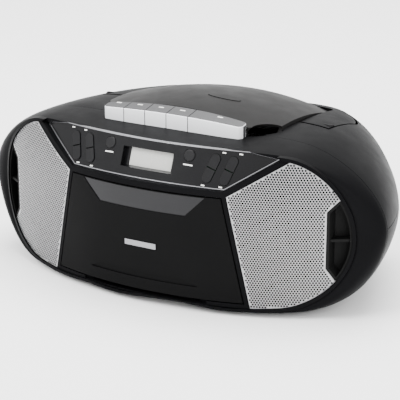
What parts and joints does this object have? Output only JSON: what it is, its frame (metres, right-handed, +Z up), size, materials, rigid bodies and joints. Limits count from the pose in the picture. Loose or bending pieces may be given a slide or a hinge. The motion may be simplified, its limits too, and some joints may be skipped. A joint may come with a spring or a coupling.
{
  "type": "boombox",
  "caption": "Rounded portable CD and cassette stereo with a top CD lid, front cassette door, piano keys, control panel, two speaker grilles, folding handle and telescopic aerial.",
  "frame": {"origin": "middle of the footprint, on the surface the feet stand on", "axes": "+X to the right as the listener sees it (longest extent), +Y to the back, +Z up"},
  "size_m": [0.412, 0.2468, 0.1673],
  "materials": {
    "cabinet_plastic": "fine texture",
    "lid_plastic": "fine texture",
    "panel_gloss": "gloss",
    "silver_plastic": "satin",
    "display_glass": "gloss",
    "button_plastic": "gloss",
    "grille_metal": "satin, perforated",
    "smoked_window": "gloss",
    "steel": "bright",
    "chrome": "polished",
    "zinc_plate": "plated",
    "belt_rubber": "matt",
    "white_plastic": "matt",
    "black_plastic": "matt",
    "paper_cone": "matt",
    "board": "matt",
    "brass": "satin"
  },
  "bodies": {
    "cabinet": {"front_cabinet": "cabinet_plastic", "top_cabinet": "cabinet_plastic", "bottom_cabinet": "cabinet_plastic", "control_panel": "panel_gloss", "panel_trim": "silver_plastic", "display_module": "display_glass", "button_board": "board", "left_grille": "grille_metal", "right_grille": "grille_metal", "side_ports": "cabinet_plastic", "key_shaft": "steel", "cassette_chassis": "zinc_plate", "cassette_motor": "zinc_plate", "drive_belt": "belt_rubber", "cd_deck": "black_plastic", "spindle_motor": "zinc_plate", "sled_rods": "steel", "speaker_frames": "zinc_plate", "speaker_cones": "paper_cone", "main_board": "board", "transformer": "zinc_plate", "ac_inlet": "black_plastic", "headphone_jack": "black_plastic", "feet": "belt_rubber", "screws": "steel", "hinge_pins": "steel"},
    "cassette_door_body": {"cassette_door": "cabinet_plastic", "door_window": "smoked_window", "cassette_holder": "black_plastic"},
    "cd_lid_body": {"cd_lid": "lid_plastic"},
    "cd_clamp_body": {"cd_clamp": "white_plastic"},
    "turntable_body": {"turntable": "black_plastic"},
    "sled_body": {"laser_sled": "black_plastic"},
    "handle_body": {"handle": "cabinet_plastic"},
    "battery_door_body": {"battery_door": "cabinet_plastic"},
    "flywheel_body": {"flywheel": "brass"},
    "pulley_body": {"motor_pulley": "white_plastic"},
    "supply_body": {"supply_reel": "white_plastic"},
    "takeup_body": {"takeup_reel": "white_plastic"},
    "head_body": {"head_bridge": "zinc_plate"},
    "pinch_body": {"pinch_roller": "belt_rubber"},
    "swivel_body": {"antenna_swivel": "black_plastic"},
    "outer_rod_body": {"antenna_outer_rod": "chrome"},
    "middle_rod_body": {"antenna_middle_rod": "chrome"},
    "tip_rod_body": {"antenna_tip_rod": "chrome"},
    "pause_key_body": {"pause_key": "silver_plastic"},
    "stop_key_body": {"stop_key": "silver_plastic"},
    "wind_key_body": {"wind_key": "silver_plastic"},
    "rewind_key_body": {"rewind_key": "silver_plastic"},
    "play_key_body": {"play_key": "silver_plastic"},
    "round_left_body": {"round_button_left": "button_plastic"},
    "round_right_body": {"round_button_right": "button_plastic"},
    "slot_1_upper_body": {"slot_1_upper_button": "button_plastic"},
    "slot_1_lower_body": {"slot_1_lower_button": "button_plastic"},
    "slot_2_upper_body": {"slot_2_upper_button": "button_plastic"},
    "slot_2_lower_body": {"slot_2_lower_button": "button_plastic"},
    "slot_3_upper_body": {"slot_3_upper_button": "button_plastic"},
    "slot_3_lower_body": {"slot_3_lower_button": "button_plastic"},
    "slot_4_upper_body": {"slot_4_upper_button": "button_plastic"},
    "slot_4_lower_body": {"slot_4_lower_button": "button_plastic"}
  },
  "joints": [
    {"name": "cassette_door_open", "type": "hinge", "parent": "cabinet", "child": "cassette_door_body", "pos_m": [0, -0.114, 0.0155], "axis": [1, 0, 0], "range_deg": [0, 28]},
    {"name": "cd_lid_open", "type": "hinge", "parent": "cabinet", "child": "cd_lid_body", "pos_m": [0, 0.079, 0.1415], "axis": [-1, 0, 0], "range_deg": [0, 30]},
    {"name": "turntable_spin", "type": "hinge", "parent": "cabinet", "child": "turntable_body", "pos_m": [0, 0.022, 0.13], "axis": [0, 0, 1], "continuous": true},
    {"name": "cd_clamp_spin", "type": "hinge", "parent": "cd_lid_body", "child": "cd_clamp_body", "pos_m": [0, 0.022, 0.1405], "axis": [0, 0, 1], "continuous": true},
    {"name": "laser_sled_slide", "type": "slide", "parent": "cabinet", "child": "sled_body", "axis": [1, 0, 0], "range_m": [0, 0.0295]},
    {"name": "handle_lift", "type": "hinge", "parent": "cabinet", "child": "handle_body", "pos_m": [0, 0.019, 0.14059], "axis": [1, 0, 0], "range_deg": [0, 90]},
    {"name": "battery_door_open", "type": "hinge", "parent": "cabinet", "child": "battery_door_body", "pos_m": [0, 0.1087, 0.026], "axis": [-1, 0, 0], "range_deg": [0, 75]},
    {"name": "flywheel_spin", "type": "hinge", "parent": "cabinet", "child": "flywheel_body", "pos_m": [0.024, -0.088, 0.089], "axis": [0, 1, 0], "continuous": true},
    {"name": "pulley_spin", "type": "hinge", "parent": "cabinet", "child": "pulley_body", "pos_m": [-0.048, -0.088, 0.047], "axis": [0, 1, 0], "continuous": true},
    {"name": "supply_reel_spin", "type": "hinge", "parent": "cabinet", "child": "supply_body", "pos_m": [-0.02125, -0.088, 0.061], "axis": [0, 1, 0], "continuous": true},
    {"name": "takeup_reel_spin", "type": "hinge", "parent": "cabinet", "child": "takeup_body", "pos_m": [0.02125, -0.088, 0.061], "axis": [0, 1, 0], "continuous": true},
    {"name": "head_bridge_slide", "type": "slide", "parent": "cabinet", "child": "head_body", "axis": [0, 0, -1], "range_m": [0, 0.004], "stiffness_N_per_m": 60},
    {"name": "pinch_roller_spin", "type": "hinge", "parent": "head_body", "child": "pinch_body", "pos_m": [0.024, -0.088, 0.0998], "axis": [0, 1, 0], "continuous": true},
    {"name": "pause_key_press", "type": "hinge", "parent": "cabinet", "child": "pause_key_body", "pos_m": [0, -0.042, 0.141], "axis": [1, 0, 0], "range_deg": [0, 5], "stiffness_Nm_per_rad": 0.9},
    {"name": "stop_key_press", "type": "hinge", "parent": "cabinet", "child": "stop_key_body", "pos_m": [0, -0.042, 0.141], "axis": [1, 0, 0], "range_deg": [0, 5], "stiffness_Nm_per_rad": 0.9},
    {"name": "wind_key_press", "type": "hinge", "parent": "cabinet", "child": "wind_key_body", "pos_m": [0, -0.042, 0.141], "axis": [1, 0, 0], "range_deg": [0, 5], "stiffness_Nm_per_rad": 0.9},
    {"name": "rewind_key_press", "type": "hinge", "parent": "cabinet", "child": "rewind_key_body", "pos_m": [0, -0.042, 0.141], "axis": [1, 0, 0], "range_deg": [0, 5], "stiffness_Nm_per_rad": 0.9},
    {"name": "play_key_press", "type": "hinge", "parent": "cabinet", "child": "play_key_body", "pos_m": [0, -0.042, 0.141], "axis": [1, 0, 0], "range_deg": [0, 5], "stiffness_Nm_per_rad": 0.9},
    {"name": "round_button_left_press", "type": "slide", "parent": "cabinet", "child": "round_left_body", "axis": [0.0939, 0.9224, -0.3746], "range_m": [0, 0.0009], "stiffness_N_per_m": 500},
    {"name": "round_button_right_press", "type": "slide", "parent": "cabinet", "child": "round_right_body", "axis": [-0.0939, 0.9224, -0.3746], "range_m": [0, 0.0009], "stiffness_N_per_m": 500},
    {"name": "slot_1_upper_press", "type": "slide", "parent": "cabinet", "child": "slot_1_upper_body", "axis": [0.182, 0.9092, -0.3746], "range_m": [0, 0.0009], "stiffness_N_per_m": 500},
    {"name": "slot_1_lower_press", "type": "slide", "parent": "cabinet", "child": "slot_1_lower_body", "axis": [0.182, 0.9092, -0.3746], "range_m": [0, 0.0009], "stiffness_N_per_m": 500},
    {"name": "slot_2_upper_press", "type": "slide", "parent": "cabinet", "child": "slot_2_upper_body", "axis": [0.1449, 0.9158, -0.3746], "range_m": [0, 0.0009], "stiffness_N_per_m": 500},
    {"name": "slot_2_lower_press", "type": "slide", "parent": "cabinet", "child": "slot_2_lower_body", "axis": [0.1449, 0.9158, -0.3746], "range_m": [0, 0.0009], "stiffness_N_per_m": 500},
    {"name": "slot_3_upper_press", "type": "slide", "parent": "cabinet", "child": "slot_3_upper_body", "axis": [-0.1449, 0.9158, -0.3746], "range_m": [0, 0.0009], "stiffness_N_per_m": 500},
    {"name": "slot_3_lower_press", "type": "slide", "parent": "cabinet", "child": "slot_3_lower_body", "axis": [-0.1449, 0.9158, -0.3746], "range_m": [0, 0.0009], "stiffness_N_per_m": 500},
    {"name": "slot_4_upper_press", "type": "slide", "parent": "cabinet", "child": "slot_4_upper_body", "axis": [-0.182, 0.9092, -0.3746], "range_m": [0, 0.0009], "stiffness_N_per_m": 500},
    {"name": "slot_4_lower_press", "type": "slide", "parent": "cabinet", "child": "slot_4_lower_body", "axis": [-0.182, 0.9092, -0.3746], "range_m": [0, 0.0009], "stiffness_N_per_m": 500},
    {"name": "antenna_swivel_turn", "type": "hinge", "parent": "cabinet", "child": "swivel_body", "pos_m": [0.054, 0.11, 0.102], "axis": [0, 1, 0], "range_deg": [0, 180]},
    {"name": "antenna_elbow", "type": "hinge", "parent": "swivel_body", "child": "outer_rod_body", "pos_m": [0.054, 0.1195, 0.102], "axis": [0, 0, -1], "range_deg": [0, 90]},
    {"name": "antenna_middle_slide", "type": "slide", "parent": "outer_rod_body", "child": "middle_rod_body", "axis": [-1, 0, 0], "range_m": [0, 0.085]},
    {"name": "antenna_tip_slide", "type": "slide", "parent": "middle_rod_body", "child": "tip_rod_body", "axis": [-1, 0, 0], "range_m": [0, 0.085]}
  ],
  "couplings": [
    {"joint": "cd_clamp_spin", "follows": "turntable_spin", "ratio": 1},
    {"joint": "pulley_spin", "follows": "flywheel_spin", "ratio": 3.7667},
    {"joint": "takeup_reel_spin", "follows": "supply_reel_spin", "ratio": 1},
    {"joint": "head_bridge_slide", "follows": "play_key_press", "m_per_rad": 0.045837},
    {"joint": "antenna_tip_slide", "follows": "antenna_middle_slide", "ratio": 1}
  ]
}
